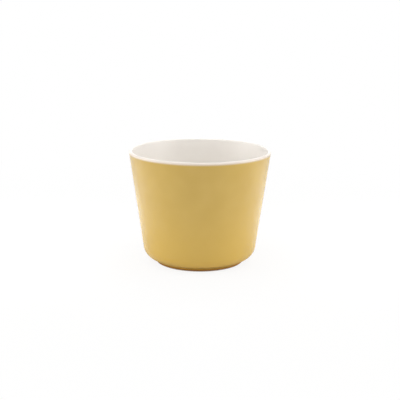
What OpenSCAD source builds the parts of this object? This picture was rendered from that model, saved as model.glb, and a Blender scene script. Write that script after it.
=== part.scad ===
// Latte bowl without a handle: a conical cup with a rounded heel that stands on a low foot ring.
// One white porcelain body carries three glaze coats: a white lining that runs over the lip,
// a yellow coat outside, and a clear coat in the recess under the floor.
// The foot ring's edge stays bare, as it does on ware that is fired standing on its foot.
// Millimetres, +Z up, with the origin on the table at the middle of the foot ring.

/* [Bowl] */
// Outer diameter at the lip, over the glaze
rim_d = 96; // [84:0.5:120]
// Height from the table to the top of the lip
bowl_h = 77; // [60:0.5:100]
// Diameter of the heel's corner, before it is rounded
heel_d = 75.5; // [70:0.5:82]
// Height of the heel's corner above the table
heel_h = 5; // [4:0.1:8]
// Radius that rounds the heel
heel_round = 9; // [4:0.5:12]

/* [Wall] */
// Thickness of the lip, which is rounded over its whole width
lip_t = 2.2; // [1.8:0.1:4]
// Thickness of the wall at the level of the floor
wall_t = 3.4; // [2.4:0.1:5]
// Thickness of the floor above the recess in the foot
floor_t = 4.2; // [3:0.1:7]
// Radius where the wall meets the floor inside
floor_round = 10; // [4:0.5:14]

/* [Foot] */
// Outer diameter of the foot ring, over the glaze
foot_d = 60; // [54:0.5:66]
// Height of the foot ring's outer side
foot_h = 2.2; // [1.7:0.1:3]
// Width of the foot ring, over the glaze
foot_w = 4; // [3:0.1:6]
// Depth of the recess inside the foot ring
recess_h = 2.5; // [1.7:0.1:4]
// Radius of the foot ring's lower edges, over the glaze
foot_round = 0.8; // [0.4:0.1:1]
// Radius of the cove on each side of the foot ring
cove_round = 1; // [0.4:0.1:1.5]

/* [Glaze] */
// Thickness of every glaze coat
glaze_t = 0.3; // [0.15:0.05:0.4]
// Distance from the end of the lip's rounding down to the line where the yellow starts
colour_gap = 0.1; // [0.05:0.05:10]
// Height of the clay that is left bare at the foot ring's edge
bare_h = 0.6; // [0.5:0.1:1.2]

/* [Hidden] */
// Largest distance between a round stretch of an outline and the chords that draw it
chord_error = 0.01;
// Facets of a full turn in the preview
$fn = 180;

// The lip is a half circle that the outer and the inner wall both touch
lip_r = lip_t / 2;
lip_centre = [rim_d / 2 - lip_r, bowl_h - lip_r];
floor_h = recess_h + floor_t;
foot_r = foot_d / 2;
recess_r = foot_r - foot_w;
// The foot ring's lower edges are rounded within the bare clay, and each cove ends above it
foot_edge = min(foot_round, bare_h + glaze_t);
foot_cove = min(cove_round, foot_h - bare_h);
recess_cove = min(cove_round, recess_h - bare_h);

// Direction of the wall line that leaves a corner and touches the lip; side is 1 outside and -1 inside
function wall_angle(corner, side) =
    let (to_lip = lip_centre - corner)
    atan2(to_lip[1], to_lip[0]) - side * asin(lip_r / norm(to_lip));
// Point at height z on the line that leaves a corner at an angle
function on_wall(corner, angle, z) = [corner[0] + (z - corner[1]) / tan(angle), z];

// Outer wall, from the heel's corner up to the level of the lip's top
heel_corner = [heel_d / 2, heel_h];
outer_angle = wall_angle(heel_corner, 1);
outer_top = on_wall(heel_corner, outer_angle, bowl_h);
// Inner wall, set in from the outer one by the wall's thickness at the level of the floor
floor_corner = on_wall(heel_corner, outer_angle, floor_h) - [wall_t / sin(outer_angle), 0];
inner_angle = wall_angle(floor_corner, -1);
inner_top = on_wall(floor_corner, inner_angle, bowl_h);
// Point on the outer wall where the white lining ends and the yellow coat starts
lip_end = lip_centre + lip_r * [sin(outer_angle), -cos(outer_angle)];
colour_line = lip_end - colour_gap * [cos(outer_angle), sin(outer_angle)];

// Stations of the glazed surface as [radius, height, rounding], with the clay on the left of the path
recess_path = [[0, recess_h, 0], [recess_r, recess_h, recess_cove]];
foot_path = [[recess_r, 0, foot_edge], [foot_r, 0, foot_edge]];
outer_path = [[foot_r, foot_h, foot_cove], [each heel_corner, heel_round]];
lining_path = [
    [each outer_top, lip_r],
    [each inner_top, lip_r],
    [each floor_corner, floor_round],
    [0, floor_h, 0]
];
whole_path = concat(recess_path, foot_path, outer_path, lining_path);
// Every edge of the whole path carries glaze, apart from the foot ring's lower face
bare_edge = len(recess_path);
whole_depths = [for (i = [0 : len(whole_path) - 2]) i == bare_edge ? 0 : glaze_t];

function place(station) = [station[0], station[1]];
// Unit vector along edge i of a path
function along(path, i) =
    let (edge = place(path[i + 1]) - place(path[i]))
    edge / norm(edge);
function left_of(v) = [-v[1], v[0]];

// Path whose edge i lies depths[i] deeper in the clay
function sunk(path, depths) =
    let (last = len(path) - 1)
    [
        [each place(path[0]) + depths[0] * left_of(along(path, 0)), 0],
        for (i = [1 : last - 1])
            sunk_station(path[i], along(path, i - 1), along(path, i), depths[i - 1], depths[i]),
        [each place(path[last]) + depths[last - 1] * left_of(along(path, last - 1)), 0]
    ];
// Station where the two sunk edges cross; its rounding keeps the same centre
function sunk_station(station, before, after, depth_before, depth_after) =
    let (
        slant = before * after,
        share_before = (depth_before - depth_after * slant) / (1 - slant * slant),
        share_after = (depth_after - depth_before * slant) / (1 - slant * slant),
        shift = share_before * left_of(before) + share_after * left_of(after),
        bend = sign(cross(before, after)),
        rounding = station[2] - bend * max(depth_before, depth_after)
    )
    [each place(station) + shift, max(rounding, 0)];

// Points along a path, with an arc at each rounded station
function rounded(path) = [
    place(path[0]),
    for (i = [1 : len(path) - 2]) each station_arc(path[i], along(path, i - 1), along(path, i)),
    place(path[len(path) - 1])
];
function station_arc(station, before, after) =
    let (
        radius = station[2],
        turn = atan2(cross(before, after), before * after),
        start = place(station) - radius * tan(abs(turn) / 2) * before,
        spoke = -sign(turn) * radius * left_of(before),
        steps = radius == 0 ? 1 : ceil(abs(turn) / (2 * acos(1 - chord_error / radius)))
    )
    radius == 0
        ? [place(station)]
        : [for (k = [0 : steps]) start - spoke + turned(spoke, turn * k / steps)];
function turned(v, angle) = cos(angle) * v + sin(angle) * left_of(v);
function reversed(list) = [for (i = [len(list) - 1 : -1 : 0]) list[i]];

// Coat of glaze that lies on the clay along one stretch of the surface
module coat(path) {
    depths = [for (i = [0 : len(path) - 2]) glaze_t];
    rotate_extrude() polygon(concat(rounded(path), reversed(rounded(sunk(path, depths)))));
}

module porcelain_body() {
    color("oldlace") rotate_extrude() polygon(rounded(sunk(whole_path, whole_depths)));
}

module white_lining_glaze() {
    color("ivory") coat(concat([[each colour_line, 0]], lining_path));
}

module yellow_outer_glaze() {
    color("#d9b566") coat(concat([[foot_r, bare_h, 0]], outer_path, [[each colour_line, 0]]));
}

module clear_base_glaze() {
    color("whitesmoke") coat(concat(recess_path, [[recess_r, bare_h, 0]]));
}

porcelain_body();
white_lining_glaze();
yellow_outer_glaze();
clear_base_glaze();
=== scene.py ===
import math
import bpy
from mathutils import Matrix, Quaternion, Vector


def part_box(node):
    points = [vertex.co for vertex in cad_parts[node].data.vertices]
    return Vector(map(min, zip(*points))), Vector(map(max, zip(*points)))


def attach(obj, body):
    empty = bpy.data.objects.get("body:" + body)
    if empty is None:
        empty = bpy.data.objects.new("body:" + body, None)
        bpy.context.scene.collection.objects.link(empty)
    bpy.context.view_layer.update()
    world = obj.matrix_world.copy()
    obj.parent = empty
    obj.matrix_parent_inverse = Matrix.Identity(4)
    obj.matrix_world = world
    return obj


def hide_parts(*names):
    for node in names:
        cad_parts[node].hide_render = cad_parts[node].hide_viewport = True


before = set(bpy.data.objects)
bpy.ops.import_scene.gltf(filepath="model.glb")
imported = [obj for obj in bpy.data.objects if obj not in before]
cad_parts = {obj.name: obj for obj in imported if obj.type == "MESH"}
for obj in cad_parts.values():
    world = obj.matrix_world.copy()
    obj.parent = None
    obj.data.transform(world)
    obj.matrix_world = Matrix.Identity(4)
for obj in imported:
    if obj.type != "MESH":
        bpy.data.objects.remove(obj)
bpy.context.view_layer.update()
print("frame loaded:", ", ".join(sorted(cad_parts)))

mm = 0.001

# What the solids say about the bowl, in metres
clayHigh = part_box("porcelain_body")[1]
liningLow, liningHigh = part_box("white_lining_glaze")
yellowLow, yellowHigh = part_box("yellow_outer_glaze")
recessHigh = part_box("clear_base_glaze")[1]
rimRadius = liningHigh.x
bowlHeight = liningHigh.z
coatThick = bowlHeight - clayHigh.z
floorHeight = liningLow.z + coatThick
bareHeight = yellowLow.z
colourHeight = yellowHigh.z
recessRadius = recessHigh.x - coatThick
recessHeight = recessHigh.z - coatThick

# The rest of the outline, measured over the glaze in millimetres
bowlShape = {
    "lipThick": 2.2,
    "wallThick": 3.4,  # at the level of the floor
    "floorRound": 10.0,
    "heelWide": 75.5,  # across the heel's corner, before it is rounded
    "heelHigh": 5.0,
    "heelRound": 9.0,
    "footWide": 60.0,
    "footHigh": 2.2,
    "footRound": 0.8,
    "coveRound": 1.0,
}
lipRadius = bowlShape["lipThick"] / 2 * mm
lipCentre = Vector((rimRadius - lipRadius, bowlHeight - lipRadius))
footRadius = bowlShape["footWide"] / 2 * mm
heelCorner = Vector((bowlShape["heelWide"] / 2, bowlShape["heelHigh"])) * mm


def wallAngle(corner, side):
    # slope of the wall that leaves a corner and touches the lip, side 1 outside and -1 inside
    toLip = lipCentre - corner
    return math.atan2(toLip.y, toLip.x) - side * math.asin(lipRadius / toLip.length)


def onWall(corner, angle, height):
    return Vector((corner.x + (height - corner.y) / math.tan(angle), height))


outerAngle = wallAngle(heelCorner, 1)
outerTop = onWall(heelCorner, outerAngle, bowlHeight)
wallAcross = bowlShape["wallThick"] * mm / math.sin(outerAngle)
floorCorner = onWall(heelCorner, outerAngle, floorHeight) - Vector((wallAcross, 0))
innerTop = onWall(floorCorner, wallAngle(floorCorner, -1), bowlHeight)
colourLine = onWall(heelCorner, outerAngle, colourHeight)

# Stations of the glazed surface as (radius, height, rounding), with the clay on the left of the path
recessPath = [
    (0, recessHeight, 0),
    (recessRadius, recessHeight, bowlShape["coveRound"] * mm),
]
footPath = [
    (recessRadius, 0, bowlShape["footRound"] * mm),
    (footRadius, 0, bowlShape["footRound"] * mm),
]
outerPath = [
    (footRadius, bowlShape["footHigh"] * mm, bowlShape["coveRound"] * mm),
    (*heelCorner, bowlShape["heelRound"] * mm),
]
liningPath = [
    (*outerTop, lipRadius),
    (*innerTop, lipRadius),
    (*floorCorner, bowlShape["floorRound"] * mm),
    (0, floorHeight, 0),
]

# How finely an outline is drawn and turned
turning = {
    "steps": 192,  # facets of a full turn
    "straightStep": 4.0,  # longest straight stretch in millimetres, so that shading stays near each round
    "roundStep": 6.0,  # degrees of a round for each facet
    "slack": 1e-6,  # share of a straight step that isn't worth a point of its own
    "weldMm": 0.001,  # points nearer than this become one
    "crease": 35.0,  # degrees between two faces, past which their edge stays sharp
}


def place(station):
    return Vector(station[:2])


def sunkStations(stations, depths):
    # the same outline with stretch i moved depths[i] into the clay
    spots = [place(s) for s in stations]
    ways = [(b - a).normalized() for a, b in zip(spots, spots[1:])]
    lefts = [Vector((-way.y, way.x)) for way in ways]
    moved = [(*(spots[0] + depths[0] * lefts[0]), 0)]
    for i in range(1, len(spots) - 1):
        before, after = ways[i - 1], ways[i]
        slant = before.dot(after)
        shareBefore = (depths[i - 1] - depths[i] * slant) / (1 - slant**2)
        shareAfter = (depths[i] - depths[i - 1] * slant) / (1 - slant**2)
        spot = spots[i] + shareBefore * lefts[i - 1] + shareAfter * lefts[i]
        bend = math.copysign(1, before.cross(after))
        rounding = stations[i][2] - bend * max(depths[i - 1], depths[i])
        moved.append((*spot, max(rounding, 0)))
    return moved + [(*(spots[-1] + depths[-1] * lefts[-1]), 0)]


def penTo(pen, goal):
    # pulls the outline's last point straight to the goal, in short steps
    steps = math.ceil((goal - pen).length / (turning["straightStep"] * mm) - turning["slack"])
    for i in range(steps):
        move = (goal - pen) / steps
        bpy.ops.mesh.extrude_vertices_move(TRANSFORM_OT_translate={"value": (move.x, 0, move.y)})
    return goal


def drawOutline(name, stations):
    # half of the outline, drawn in the plane y = 0 with one point as the pen
    bpy.ops.object.select_all(action="DESELECT")
    pen = place(stations[0])
    bpy.ops.mesh.primitive_plane_add(size=mm, location=(pen.x, 0, pen.y))
    bpy.ops.object.transform_apply(location=True, rotation=False, scale=False)
    bpy.context.object.name = name
    bpy.ops.object.mode_set(mode="EDIT")
    bpy.ops.mesh.select_all(action="SELECT")
    bpy.ops.mesh.merge(type="CENTER")
    for last, station, following in zip(stations, stations[1:], stations[2:]):
        corner = place(station)
        rounding = station[2]
        into = (corner - place(last)).normalized()
        out = (place(following) - corner).normalized()
        turn = math.atan2(into.cross(out), into.dot(out))
        reach = rounding * math.tan(abs(turn) / 2)
        pen = penTo(pen, corner - into * reach)
        if rounding > 0:
            centre = pen + math.copysign(rounding, turn) * Vector((-into.y, into.x))
            steps = math.ceil(abs(math.degrees(turn)) / turning["roundStep"])
            bpy.ops.mesh.spin(steps=steps, angle=turn, center=(centre.x, 0, centre.y), axis=(0, 1, 0))
            pen = corner + out * reach
    penTo(pen, place(stations[-1]))


def turnOutline(inside=False):
    # spins the outline about the bowl's axis, closes seam and poles, and points the faces outwards
    bpy.ops.mesh.select_all(action="SELECT")
    bpy.ops.mesh.spin(steps=turning["steps"], angle=math.tau, center=(0, 0, 0), axis=(0, 0, 1))
    bpy.ops.mesh.select_all(action="SELECT")
    bpy.ops.mesh.remove_doubles(threshold=turning["weldMm"] * mm)
    bpy.ops.mesh.normals_make_consistent(inside=inside)
    bpy.ops.object.mode_set(mode="OBJECT")
    return bpy.context.object


def thicken(piece):
    # the sheet is the glazed surface, so its thickness goes in towards the clay
    coat = piece.modifiers.new("coat", "SOLIDIFY")
    coat.thickness = coatThick
    coat.offset = -1
    coat.use_even_offset = True
    bpy.ops.object.modifier_apply(modifier=coat.name)


# Rolled edge of a coat, just above the bare foot
glazeEdge = {
    "widthMm": 0.2,
    "steps": 4,
    "nearMm": 0.01,  # a point this close to the ring is part of it
}


def rollEdge(piece, radius, height):
    # rounds the ring of edges that lies at this radius and height
    near = glazeEdge["nearMm"] * mm

    def onRing(index):
        spot = piece.data.vertices[index].co
        return abs(spot.z - height) < near and abs(spot.xy.length - radius) < near

    bpy.ops.object.mode_set(mode="EDIT")
    bpy.ops.mesh.select_mode(type="EDGE")
    bpy.ops.mesh.select_all(action="DESELECT")
    bpy.ops.object.mode_set(mode="OBJECT")
    for edge in piece.data.edges:
        edge.select = all(onRing(i) for i in edge.vertices)
    bpy.ops.object.mode_set(mode="EDIT")
    bpy.ops.mesh.bevel(offset=glazeEdge["widthMm"] * mm, segments=glazeEdge["steps"], affect="EDGES")
    bpy.ops.mesh.select_mode(type="VERT")
    bpy.ops.object.mode_set(mode="OBJECT")


def finishPiece(piece, material, node):
    bpy.ops.object.shade_smooth_by_angle(angle=math.radians(turning["crease"]))
    piece.data.materials.append(material)
    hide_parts(node)
    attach(piece, "root")
    print(piece.name, "has", len(piece.data.polygons), "faces")


def hexToLinear(code):
    # undoes the sRGB curve
    parts = [int(code[i:i + 2], 16) / 255 for i in (1, 3, 5)]
    return [p / 12.92 if p <= 0.04045 else ((p + 0.055) / 1.055) ** 2.4 for p in parts] + [1]


def addNode(tree, kind, settings, links=()):
    # a setting is the node's own property or the value of an input; a link is (input, output socket)
    node = tree.nodes.new(kind)
    for name, value in settings.items():
        if isinstance(name, str) and hasattr(node, name):
            setattr(node, name, value)
        else:
            node.inputs[name].default_value = value
    for name, socket in links:
        tree.links.new(socket, node.inputs[name])
    return node


mixFrom, mixTo, mixed = 6, 7, 2  # a Mix node's two colour inputs and its colour output
noiseSpan = (0.3, 0.7)  # nearly all of a noise lies between these values


def newMaterial(name):
    material = bpy.data.materials.new(name)
    material.use_nodes = True
    material.node_tree.nodes.clear()
    return material, material.node_tree


def perMetre(sizeMm):
    # scale of a pattern whose features are this many millimetres across
    return 1 / (sizeMm * mm)


# Where the colours meet: the yellow creeps a little up the outside of the lip and thins out there,
# and the white is thin on that side as well, so that the warm clay shows through
colourEdge = {
    "yellow": "#d1ae4f",
    "lip": "#eee3d8",
    "fadesMm": (-1.05, 0.7),  # heights above the colour line between which the yellow thins out
    "waverMm": 0.2,
    "cloudMm": 14.0,
    "thinsOver": 0.7,  # share of the lip's radius over which the white thins, from the crest outwards
}


def addColourEdge(tree, where, height):
    # share of white round the colour line, which wavers a little
    clouds = addNode(
        tree,
        "ShaderNodeTexNoise",
        {"Scale": perMetre(colourEdge["cloudMm"]), "Detail": 1},
        [("Vector", where)],
    )
    waver = addNode(
        tree,
        "ShaderNodeMath",
        {"operation": "MULTIPLY_ADD", 1: colourEdge["waverMm"] * mm},
        [(0, clouds.outputs["Fac"]), (2, height)],
    )
    start, end = colourEdge["fadesMm"]
    white = addNode(
        tree,
        "ShaderNodeMapRange",
        {
            "interpolation_type": "SMOOTHSTEP",
            "From Min": colourHeight + start * mm,
            "From Max": colourHeight + end * mm,
        },
        [("Value", waver.outputs[0])],
    )
    return white.outputs[0]


def fadeYellow(tree, where, height, yellow):
    # the yellow coat's colour, thinning out to the lip's tone
    faded = addNode(
        tree,
        "ShaderNodeMix",
        {"data_type": "RGBA", mixTo: hexToLinear(colourEdge["lip"])},
        [(0, addColourEdge(tree, where, height)), (mixFrom, yellow)],
    )
    return faded.outputs[mixed]


def fadeWhite(tree, where, height, inside):
    # the lining's colour: one white inside and on top, thinner and then yellow down the lip's outer side
    level = addNode(tree, "ShaderNodeVectorMath", {"operation": "MULTIPLY", 1: (1, 1, 0)}, [(0, where)])
    radius = addNode(tree, "ShaderNodeVectorMath", {"operation": "LENGTH"}, [(0, level.outputs[0])])
    inward = addNode(
        tree,
        "ShaderNodeMapRange",
        {"From Min": lipCentre.x + lipRadius * colourEdge["thinsOver"], "From Max": lipCentre.x},
        [("Value", radius.outputs["Value"])],
    )
    white = addNode(
        tree,
        "ShaderNodeMix",
        {"data_type": "RGBA", mixFrom: hexToLinear(colourEdge["lip"])},
        [(0, inward.outputs[0]), (mixTo, inside)],
    )
    share = addNode(
        tree,
        "ShaderNodeMath",
        {"operation": "MAXIMUM"},
        [(0, addColourEdge(tree, where, height)), (1, inward.outputs[0])],
    )
    faded = addNode(
        tree,
        "ShaderNodeMix",
        {"data_type": "RGBA", mixFrom: hexToLinear(colourEdge["yellow"])},
        [(0, share.outputs[0]), (mixTo, white.outputs[mixed])],
    )
    return faded.outputs[mixed]


def addTone(tree, height, colour, tone):
    # the colour turning to another tone between two heights, by a share at the most; on this bowl these
    # tones carry painted light and shade too
    start, end = tone["spanMm"]
    turns = addNode(
        tree,
        "ShaderNodeMapRange",
        {
            "interpolation_type": "SMOOTHSTEP",
            "From Min": start * mm,
            "From Max": end * mm,
            "To Max": tone["share"],
        },
        [("Value", height)],
    )
    toned = addNode(
        tree,
        "ShaderNodeMix",
        {"data_type": "RGBA", mixTo: hexToLinear(tone["colour"])},
        [(0, turns.outputs[0]), (mixFrom, colour)],
    )
    return toned.outputs[mixed]


def makeFinish(name, look, fade=None):
    # clouds vary the coat's colour and sheen, a ripple is its relief, and its tones, with their painted
    # light and shade, lie at their heights
    material, tree = newMaterial(name)
    where = addNode(tree, "ShaderNodeTexCoord", {}).outputs["Object"]
    height = addNode(tree, "ShaderNodeSeparateXYZ", {}, [("Vector", where)]).outputs["Z"]
    patterns = {}
    for size, detail in (("cloudMm", look["cloudDetail"]), ("grainMm", 1), ("rippleMm", 1)):
        if size in look:
            settings = {"Scale": perMetre(look[size]), "Detail": detail}
            noise = addNode(tree, "ShaderNodeTexNoise", settings, [("Vector", where)])
            patterns[size] = noise.outputs["Fac"]
    low, high = noiseSpan
    clouds = patterns["cloudMm"]
    varied = clouds
    shift = 0
    if "grainMm" in look:
        grained = addNode(
            tree,
            "ShaderNodeMath",
            {"operation": "MULTIPLY_ADD", 1: look["grainShare"]},
            [(0, patterns["grainMm"]), (2, clouds)],
        )
        varied = grained.outputs[0]
        shift = look["grainShare"] / 2  # the grain's mean, which it adds to the clouds
    share = addNode(
        tree,
        "ShaderNodeMapRange",
        {"From Min": low + shift, "From Max": high + shift},
        [("Value", varied)],
    )
    coat = addNode(
        tree,
        "ShaderNodeMix",
        {"data_type": "RGBA", mixFrom: hexToLinear(look["thin"]), mixTo: hexToLinear(look["thick"])},
        [(0, share.outputs[0])],
    )
    colour = coat.outputs[mixed]
    for tone in look["tonesAndPaintedLight"]:
        colour = addTone(tree, height, colour, tone)
    if fade:
        colour = fade(tree, where, height, colour)
    smooth, rough = look["roughness"]
    sheen = addNode(
        tree,
        "ShaderNodeMapRange",
        {"From Min": low, "From Max": high, "To Min": smooth, "To Max": rough},
        [("Value", clouds)],
    )
    relief = addNode(
        tree,
        "ShaderNodeBump",
        {"Strength": 1, "Distance": look["rippleDeepMm"] * mm},
        [("Height", patterns["rippleMm"])],
    )
    shader = addNode(
        tree,
        "ShaderNodeBsdfPrincipled",
        {"IOR": look["ior"]},
        [("Base Color", colour), ("Roughness", sheen.outputs[0]), ("Normal", relief.outputs[0])],
    )
    addNode(tree, "ShaderNodeOutputMaterial", {}, [("Surface", shader.outputs[0])])
    return material


# Fired porcelain left bare and rubbed smooth: matt, warm white, with a fine sandy grain
barePorcelain = {
    "thin": "#ece6da",
    "thick": "#ddd5c6",
    "tonesAndPaintedLight": [],
    "cloudMm": 0.7,  # the real grain is finer, and is drawn coarser so that it shows
    "cloudDetail": 3,
    "rippleMm": 0.6,
    "rippleDeepMm": 0.02,
    "roughness": (0.7, 0.85),
    "ior": 1.5,
}

# Clay body: the whole outline, sunk by the coats everywhere but under the foot ring
wholePath = recessPath + footPath + outerPath + liningPath
bareStretch = len(recessPath)
clayDepths = [0 if i == bareStretch else coatThick for i in range(len(wholePath) - 1)]
drawOutline("clay_body", sunkStations(wholePath, clayDepths))
clayBody = turnOutline()
clayFinish = makeFinish("bare_fired_porcelain", barePorcelain)
finishPiece(clayBody, clayFinish, "porcelain_body")

# Warm white glaze, poured in and swilled round: bright, with a soft silky sheen that mirrors
# nothing clearly, and painted shade over the floor inside, a darker tone that tempers the top light there
whiteGlaze = {
    "thin": "#fbf7f1",
    "thick": "#f8f3ed",
    "tonesAndPaintedLight": [
        {"colour": "#eee9e2", "spanMm": (19.0, 8.0), "share": 1},  # painted shade: darker over the floor inside, where the top light falls strongest
    ],
    "cloudMm": 18.0,
    "cloudDetail": 3,
    "rippleMm": 8.0,
    "rippleDeepMm": 0.02,
    "roughness": (0.4, 0.48),
    "ior": 1.52,
}

# White lining, from the colour line over the lip and down to the middle of the floor
drawOutline("white_lining", [(*colourLine, 0)] + liningPath)
whiteLining = turnOutline()
thicken(whiteLining)
whiteFinish = makeFinish("warm_white_silky_glaze", whiteGlaze, fadeWhite)
finishPiece(whiteLining, whiteFinish, "white_lining_glaze")

# Mustard yellow glaze, sprayed on and fired: an even satin gloss, with faint clouds where the coat
# varies, a brighter tone down the wall, partly painted light bounced up from the floor, and a brown one
# low on the foot, partly glaze gathered there and partly painted shade where it meets the floor
yellowGlaze = {
    "thin": "#d2b058",
    "thick": "#ceab52",
    "tonesAndPaintedLight": [
        {"colour": "#dbb654", "spanMm": (60.0, 6.0), "share": 0.8},  # down the wall, partly painted light bounced up from the floor
        {"colour": "#a2660f", "spanMm": (2.6, 0.6), "share": 1},  # partly glaze gathered on the foot ring, partly painted shade where it meets the floor
    ],
    "cloudMm": 14.0,
    "cloudDetail": 1,
    "grainMm": 1.4,  # real pigment grains are finer, and are drawn coarser so that they show
    "grainShare": 0.1,
    "rippleMm": 11.0,
    "rippleDeepMm": 0.012,
    "roughness": (0.16, 0.22),
    "ior": 1.56,
}

# Yellow coat, from a rolled edge above the bare foot up to the colour line
drawOutline("yellow_coat", [(footRadius, bareHeight, 0)] + outerPath + [(*colourLine, 0)])
yellowCoat = turnOutline()
thicken(yellowCoat)
rollEdge(yellowCoat, footRadius, bareHeight)
yellowFinish = makeFinish("mustard_yellow_satin_glaze", yellowGlaze, fadeYellow)
finishPiece(yellowCoat, yellowFinish, "yellow_outer_glaze")

# Clear gloss glaze over the white clay: thin and colourless, a touch greyer where it lies thicker
clearGlaze = {
    "thin": "#efebe3",
    "thick": "#e4e2d8",
    "tonesAndPaintedLight": [],
    "cloudMm": 9.0,
    "cloudDetail": 3,
    "rippleMm": 5.0,
    "rippleDeepMm": 0.015,
    "roughness": (0.08, 0.14),
    "ior": 1.5,
}

# Clear coat in the recess; the recess is seen from within, so its faces point to the axis
drawOutline("clear_base", recessPath + [(recessRadius, bareHeight, 0)])
clearBase = turnOutline(inside=True)
thicken(clearBase)
rollEdge(clearBase, recessRadius, bareHeight)
clearFinish = makeFinish("clear_gloss_glaze", clearGlaze)
finishPiece(clearBase, clearFinish, "clear_base_glaze")

# Pale floor: white to the eye and in reflections, and a plain pale surface to the light,
# so that it keeps a soft shadow near the bowl
floorLook = {
    "size": 12.0,  # in metres
    "belowMm": 0.02,  # just clear of the foot ring
    "tone": "#fbfaf8",
    "whiteToEye": 0.9,  # share of plain white beside the bowl, so that its shadow stays faint
    "eyeMm": (60, 400),  # distances between which the eye's share rises to plain white
    "mirrorMm": (250, 600),  # near the bowl the glaze mirrors the lit floor, further out plain white
}


def makeFloor(look):
    material, tree = newMaterial("pale_studio_floor")
    path = addNode(tree, "ShaderNodeLightPath", {}).outputs
    where = addNode(tree, "ShaderNodeTexCoord", {}).outputs["Object"]
    away = addNode(tree, "ShaderNodeVectorMath", {"operation": "LENGTH"}, [(0, where)]).outputs["Value"]
    whiteness = {}
    for span, least in (("eyeMm", look["whiteToEye"]), ("mirrorMm", 0)):
        start, end = look[span]
        rise = addNode(
            tree,
            "ShaderNodeMapRange",
            {
                "interpolation_type": "SMOOTHSTEP",
                "From Min": start * mm,
                "From Max": end * mm,
                "To Min": least,
            },
            [("Value", away)],
        )
        whiteness[span] = rise.outputs[0]
    bounced = addNode(
        tree,
        "ShaderNodeMath",
        {"operation": "MAXIMUM"},
        [(0, path["Is Glossy Ray"]), (1, path["Is Transmission Ray"])],
    )
    mirrored = addNode(
        tree,
        "ShaderNodeMath",
        {"operation": "MULTIPLY"},
        [(0, bounced.outputs[0]), (1, whiteness["mirrorMm"])],
    )
    share = addNode(
        tree,
        "ShaderNodeMath",
        {"operation": "MULTIPLY_ADD"},
        [(0, path["Is Camera Ray"]), (1, whiteness["eyeMm"]), (2, mirrored.outputs[0])],
    )
    matt = addNode(tree, "ShaderNodeBsdfDiffuse", {"Color": hexToLinear(look["tone"])})
    glow = addNode(tree, "ShaderNodeEmission", {"Strength": 1})
    surface = addNode(
        tree,
        "ShaderNodeMixShader",
        {},
        [(0, share.outputs[0]), (1, matt.outputs[0]), (2, glow.outputs[0])],
    )
    addNode(tree, "ShaderNodeOutputMaterial", {}, [("Surface", surface.outputs[0])])
    bpy.ops.object.select_all(action="DESELECT")
    bpy.ops.mesh.primitive_plane_add(size=look["size"], location=(0, 0, -look["belowMm"] * mm))
    floor = bpy.context.object
    floor.name = "studio_floor"
    floor.data.materials.append(material)


def makeWorld():
    # white where the eye or a reflection meets it, and no light of its own on the bowl
    world = bpy.data.worlds.new("studio_white")
    bpy.context.scene.world = world
    world.use_nodes = True
    tree = world.node_tree
    tree.nodes.clear()
    path = addNode(tree, "ShaderNodeLightPath", {}).outputs
    seen = path["Is Camera Ray"]
    for ray in ("Is Glossy Ray", "Is Transmission Ray"):
        either = addNode(tree, "ShaderNodeMath", {"operation": "MAXIMUM"}, [(0, seen), (1, path[ray])])
        seen = either.outputs[0]
    white = addNode(tree, "ShaderNodeBackground", {"Color": (1, 1, 1, 1)}, [("Strength", seen)])
    addNode(tree, "ShaderNodeOutputWorld", {}, [("Surface", white.outputs[0])])


makeFloor(floorLook)
makeWorld()
print("floor and background are in place")

# Soft boxes: place, aim and size in metres, power in watts and spread in degrees
bowlMiddle = (0, 0, 0.04)
openSpread = 180  # of a box without a grid
softBoxes = {
    "left_box": {"at": (-1.0, -0.1, 0.3), "aim": bowlMiddle, "size": (0.9, 0.55), "power": 4.52},
    "right_box": {"at": (1.0, -0.1, 0.3), "aim": bowlMiddle, "size": (0.9, 0.55), "power": 4.52},
    "top_box": {"at": (0, 0, 1.2), "aim": bowlMiddle, "size": (1.8, 1.8), "power": 17.9},
    "front_box": {"at": (0, -1.3, 0.45), "aim": bowlMiddle, "size": (1.6, 0.8), "power": 3.27},
    "back_box": {"at": (0, 1.3, 0.45), "aim": bowlMiddle, "size": (1.6, 0.8), "power": 3.0},
}
# low gridded ones light the floor beside the bowl alone, and its sheen shows along the bowl's sides
lowBox = {"size": (0.16, 0.2), "power": 0.06, "spread": 60}
softBoxes["low_left_box"] = {"at": (-0.16, 0.05, 0.15), "aim": (-0.16, 0.05, 0), **lowBox}
softBoxes["low_right_box"] = {"at": (0.16, 0.05, 0.15), "aim": (0.16, 0.05, 0), **lowBox}
for name, box in softBoxes.items():
    bpy.ops.object.light_add(type="AREA", location=box["at"])
    lamp = bpy.context.object
    lamp.name = name
    lamp.rotation_euler = (Vector(box["aim"]) - lamp.location).to_track_quat("-Z", "Y").to_euler()
    lamp.data.shape = "RECTANGLE"
    lamp.data.size, lamp.data.size_y = box["size"]
    lamp.data.energy = box["power"]
    lamp.data.spread = math.radians(box.get("spread", openSpread))
print("studio lit by", len(softBoxes), "soft boxes")

# Camera, in millimetres and degrees, worked out from the bowl's outline in the photograph
viewpoint = {
    "away": 696.5,
    "elevation": 12.88,
    "aimHigh": 42.2,
    "aside": 0.2,
    "roll": 0.3,
    "lens": 91.64,
}
elevation = math.radians(viewpoint["elevation"])
back = Vector((0, -math.cos(elevation), math.sin(elevation)))
aim = Vector((viewpoint["aside"], 0, viewpoint["aimHigh"])) * mm
roll = Quaternion((0, 0, 1), math.radians(viewpoint["roll"]))
bpy.ops.object.camera_add(location=aim + back * viewpoint["away"] * mm)
camera = bpy.context.object
camera.data.lens = viewpoint["lens"]
camera.rotation_mode = "QUATERNION"
camera.rotation_quaternion = (-back).to_track_quat("-Z", "Y") @ roll
bpy.context.scene.camera = camera
bpy.context.scene.view_settings.view_transform = "Standard"

print("bowl finished")
